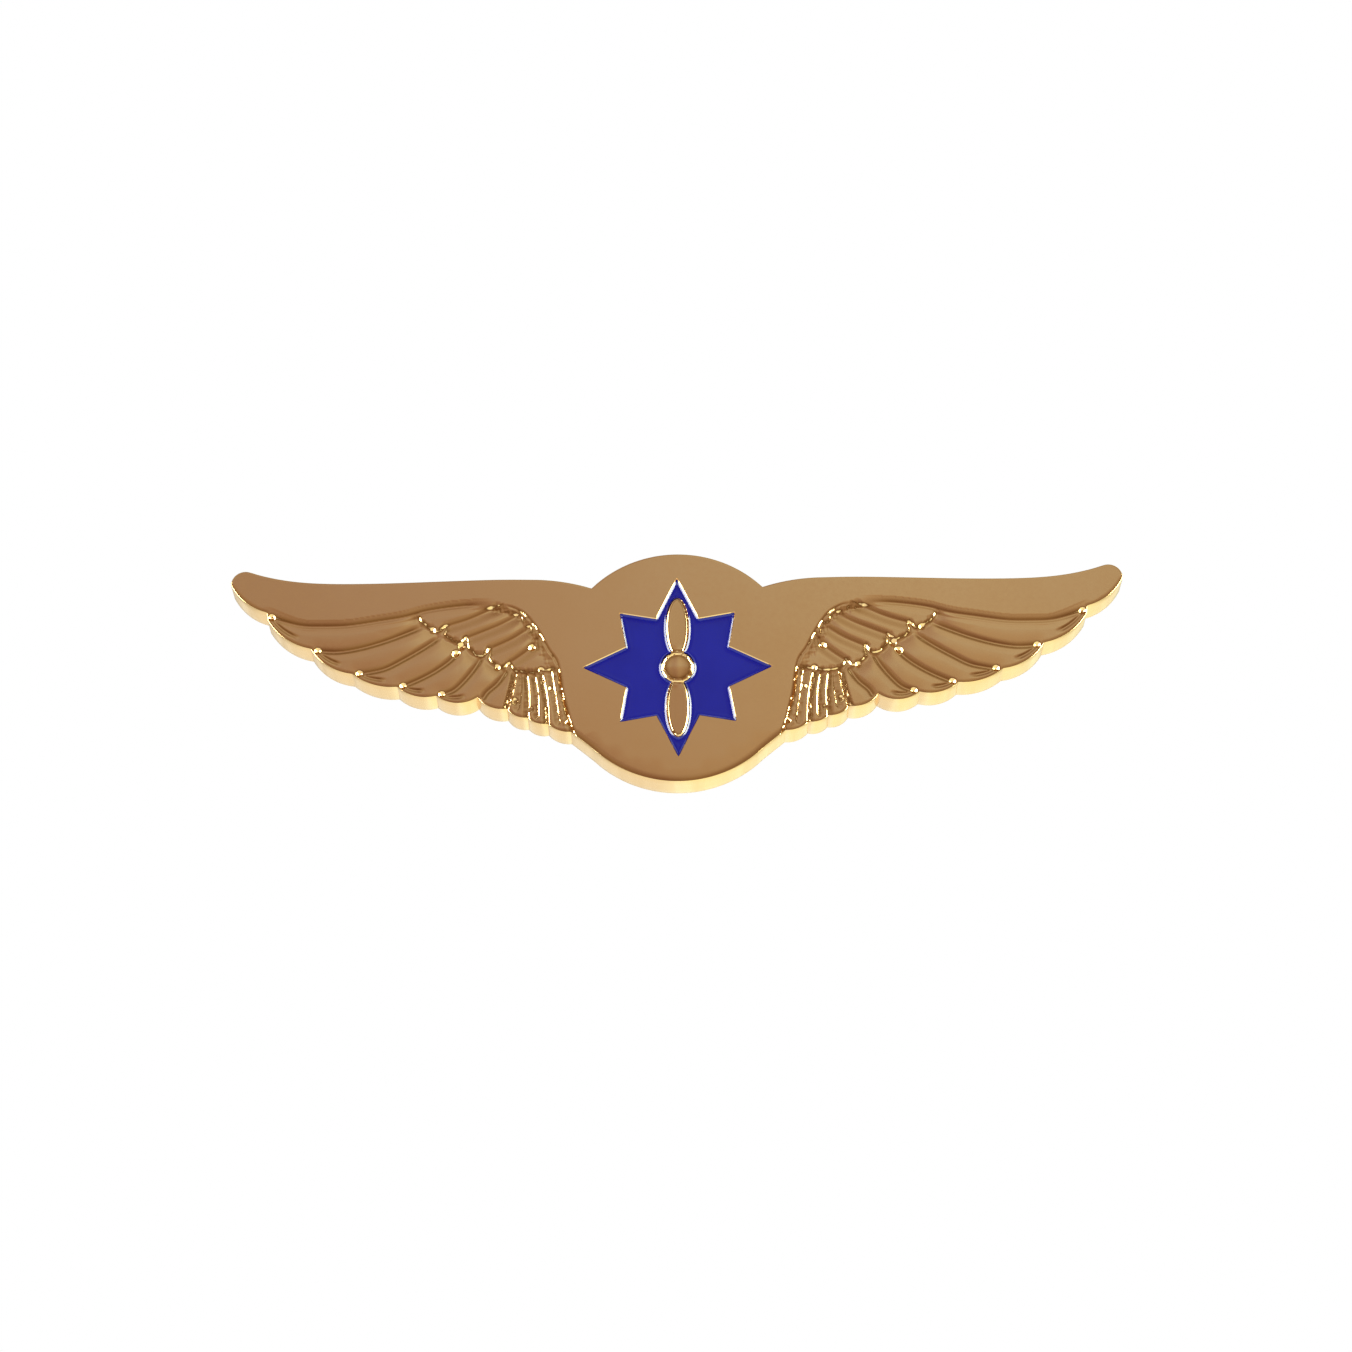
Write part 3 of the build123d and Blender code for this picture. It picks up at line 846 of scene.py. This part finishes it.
# What polished metal sees, as (place, colour) stops. The card's rings are placed in degrees from
# the axis that the flat face mirrors, the rest by x, y or z of the direction that is seen.
CARD_RINGS = [
    (0, (1, 1, 1)), (4, (1, 1, 1)), (14, (0.93, 0.92, 0.9)), (30, (0.74, 0.66, 0.55)),
    (46, (0.46, 0.36, 0.23)), (180, (0.5, 0.42, 0.3)),
]
CARD_END = (54, 64)  # degrees over which the card gives way to white
CARD_ACROSS = [
    (0, (0.43, 0.35, 0.285)), (0.328, (0.372, 0.274, 0.243)), (0.432, (0.414, 0.32, 0.273)),
    (0.54, (0.452, 0.39, 0.325)), (0.58, (0.488, 0.42, 0.34)), (1, (0.43, 0.35, 0.285)),
]
CARD_HALF_WIDTH = 0.25
CARD_UPWARD = [
    (0, (0.88, 0.78, 0.7)), (0.4, (0.95, 0.86, 0.78)), (0.5, (1, 1, 1)),
    (0.6, (1.03, 1.12, 1.22)), (1, (1.08, 1.12, 1.15)),
]
CARD_HALF_HEIGHT = 0.13
WHITE_ACROSS = [(0, (1.0, 1.02, 0.92)), (0.5, (1.22, 1.38, 1.26)), (1, (1.22, 1.28, 0.98))]
WHITE_HALF_WIDTH = 0.1
DIM_BEHIND = 0.42  # of the white, behind the badge
LOW_BEHIND = (0.15, 0.35)  # z over which the white behind ends
MIDDLE_BEHIND = (0.4, 0.62)  # and the distance to each side
FRONT = (-0.1, 0.2)  # y over which the front ends, for the white and for the strips
STRIP_FRONT = (-0.1, -0.02)
FIRST_REFLECTION = (2, 3)  # Ray Depth in the world for a first and for a second reflection
STRIP_ACROSS = [(0.8, (0, 0, 0)), (0.86, (1, 1, 1)), (0.975, (1, 1, 1)), (0.99, (0, 0, 0))]
STRIP_LIGHT = 13.0


def camera():
    data = bpy.data.cameras.new("camera")
    data.sensor_width = 36.0
    data.lens = data.sensor_width * VIEW_DISTANCE / VIEW_WIDTH
    data.clip_start, data.clip_end = 0.01, 100
    made = bpy.data.objects.new("camera", data)
    bpy.context.scene.collection.objects.link(made)
    tilt = math.radians(VIEW_ELEVATION)
    back = Vector((0, -math.cos(tilt), math.sin(tilt)))
    up = Vector((0, math.sin(tilt), math.cos(tilt)))
    made.location = AIM - up * AIM_BELOW + back * VIEW_DISTANCE
    made.rotation_mode = "QUATERNION"
    roll = Quaternion((0, 0, 1), math.radians(VIEW_ROLL))
    made.rotation_quaternion = (-back).to_track_quat("-Z", "Y") @ roll
    bpy.context.scene.camera = made


def colour_ramp(tree, value, stops):
    """Smooth colours over a value from 0 to 1, from (place, colour) stops."""
    made = node(tree, "ShaderNodeValToRGB")
    made.color_ramp.interpolation = "LINEAR"
    elements = made.color_ramp.elements
    for place, _ in stops[2:]:
        elements.new(place)
    for element, (place, colour) in zip(elements, stops):
        element.position = place
        element.color = (*colour, 1)
    tree.links.new(value, made.inputs["Fac"])
    return made.outputs["Color"]


def multiply(tree, first, second):
    made = node(tree, "ShaderNodeVectorMath", operation="MULTIPLY")
    tree.links.new(first, made.inputs[0])
    tree.links.new(second, made.inputs[1])
    return made.outputs["Vector"]


def blend(tree, share, first, second):
    made = node(tree, "ShaderNodeMix", data_type="RGBA")
    tree.links.new(share, made.inputs["Factor"])
    colours = [socket for socket in made.inputs if socket.type == "RGBA"]
    tree.links.new(first, colours[0])
    tree.links.new(second, colours[1])
    return next(socket for socket in made.outputs if socket.type == "RGBA")


def calculate(tree, operation, first, second=None):
    made = node(tree, "ShaderNodeMath", operation=operation)
    tree.links.new(first, made.inputs[0])
    if second is not None:
        tree.links.new(second, made.inputs[1])
    return made.outputs["Value"]


def tan_card(tree, angle, mirror, x, z):
    """The card in front of the badge, white along the mirror axis."""
    turn = spread(tree, angle, 0, math.pi, 0, 1)
    rings = colour_ramp(tree, turn, [(degrees / 180, tone) for degrees, tone in CARD_RINGS])
    sideways = spread(tree, x, -CARD_HALF_WIDTH, CARD_HALF_WIDTH, 0, 1)
    across = colour_ramp(tree, sideways, CARD_ACROSS)
    middle = math.sin(mirror)
    up = spread(tree, z, middle - CARD_HALF_HEIGHT, middle + CARD_HALF_HEIGHT, 0, 1)
    return multiply(tree, multiply(tree, rings, across), colour_ramp(tree, up, CARD_UPWARD))


def white_beyond(tree, x, y, z):
    """White round the card. Behind the badge only low down and near the middle."""
    low = spread(tree, z, *LOW_BEHIND, 1, 0)
    middle = spread(tree, calculate(tree, "ABSOLUTE", x), *MIDDLE_BEHIND, 1, 0)
    lit = spread(tree, calculate(tree, "MULTIPLY", low, middle), 0, 1, DIM_BEHIND, 1)
    front = spread(tree, y, *FRONT, 1, 0)
    shade = calculate(tree, "MAXIMUM", lit, front)
    grey = node(tree, "ShaderNodeCombineXYZ")
    for socket in grey.inputs:
        tree.links.new(shade, socket)
    sideways = spread(tree, x, -WHITE_HALF_WIDTH, WHITE_HALF_WIDTH, 0, 1)
    return multiply(tree, colour_ramp(tree, sideways, WHITE_ACROSS), grey.outputs["Vector"])


def strip_lights(tree, x, y, depth):
    """A tall strip on each side, in front of the badge, seen in the first reflection only."""
    strips = colour_ramp(tree, calculate(tree, "ABSOLUTE", x), STRIP_ACROSS)
    ahead = spread(tree, y, *STRIP_FRONT, STRIP_LIGHT, 0)
    first = spread(tree, depth, *FIRST_REFLECTION, 1, 0)
    return calculate(tree, "MULTIPLY", calculate(tree, "MULTIPLY", strips, ahead), first)


def world():
    """A studio that is plain white, except in the reflections of polished metal."""
    data = bpy.data.worlds.new("studio")
    bpy.context.scene.world = data
    data.use_nodes = True
    tree = data.node_tree
    place = node(tree, "ShaderNodeTexCoord").outputs["Generated"]
    ray = node(tree, "ShaderNodeLightPath")
    split = node(tree, "ShaderNodeSeparateXYZ")
    tree.links.new(place, split.inputs["Vector"])
    x, y, z = (split.outputs[axis] for axis in "XYZ")

    mirror = math.radians(-VIEW_ELEVATION)
    dot = node(tree, "ShaderNodeVectorMath", operation="DOT_PRODUCT")
    tree.links.new(place, dot.inputs[0])
    dot.inputs[1].default_value = (0, -math.cos(mirror), math.sin(mirror))
    angle = calculate(tree, "ARCCOSINE", dot.outputs["Value"])
    beyond = spread(tree, angle, *(math.radians(degrees) for degrees in CARD_END), 0, 1)
    studio = blend(
        tree, beyond, tan_card(tree, angle, mirror, x, z), white_beyond(tree, x, y, z)
    )
    glow = strip_lights(tree, x, y, ray.outputs["Ray Depth"])
    seen = node(tree, "ShaderNodeVectorMath", operation="MULTIPLY_ADD")
    for socket, source in zip(seen.inputs, (studio, glow, studio)):
        tree.links.new(source, socket)

    white = node(tree, "ShaderNodeRGB")
    white.outputs["Color"].default_value = (1, 1, 1, 1)
    glossy = ray.outputs["Is Glossy Ray"]
    light = blend(tree, glossy, white.outputs["Color"], seen.outputs["Vector"])
    tree.links.new(light, tree.nodes["Background"].inputs["Color"])


def floor():
    mesh = bpy.data.meshes.new("floor")
    half = FLOOR_HALF
    corners = [(-half, -half, 0), (half, -half, 0), (half, half, 0), (-half, half, 0)]
    mesh.from_pydata(corners, [], [(0, 1, 2, 3)])
    material, tree, bsdf = shader("pale_floor")
    clouded(tree, bsdf, FLOOR_CLOUDS, (0.88, 0.88, 0.87), (0.92, 0.92, 0.91))
    bsdf.inputs["Roughness"].default_value = 0.7
    mesh.materials.append(material)
    made = bpy.data.objects.new("floor", mesh)
    made.location.z = FLOOR_Z
    made.visible_glossy = False
    bpy.context.scene.collection.objects.link(made)


camera()
world()
floor()
bpy.context.scene.view_settings.view_transform = "Standard"
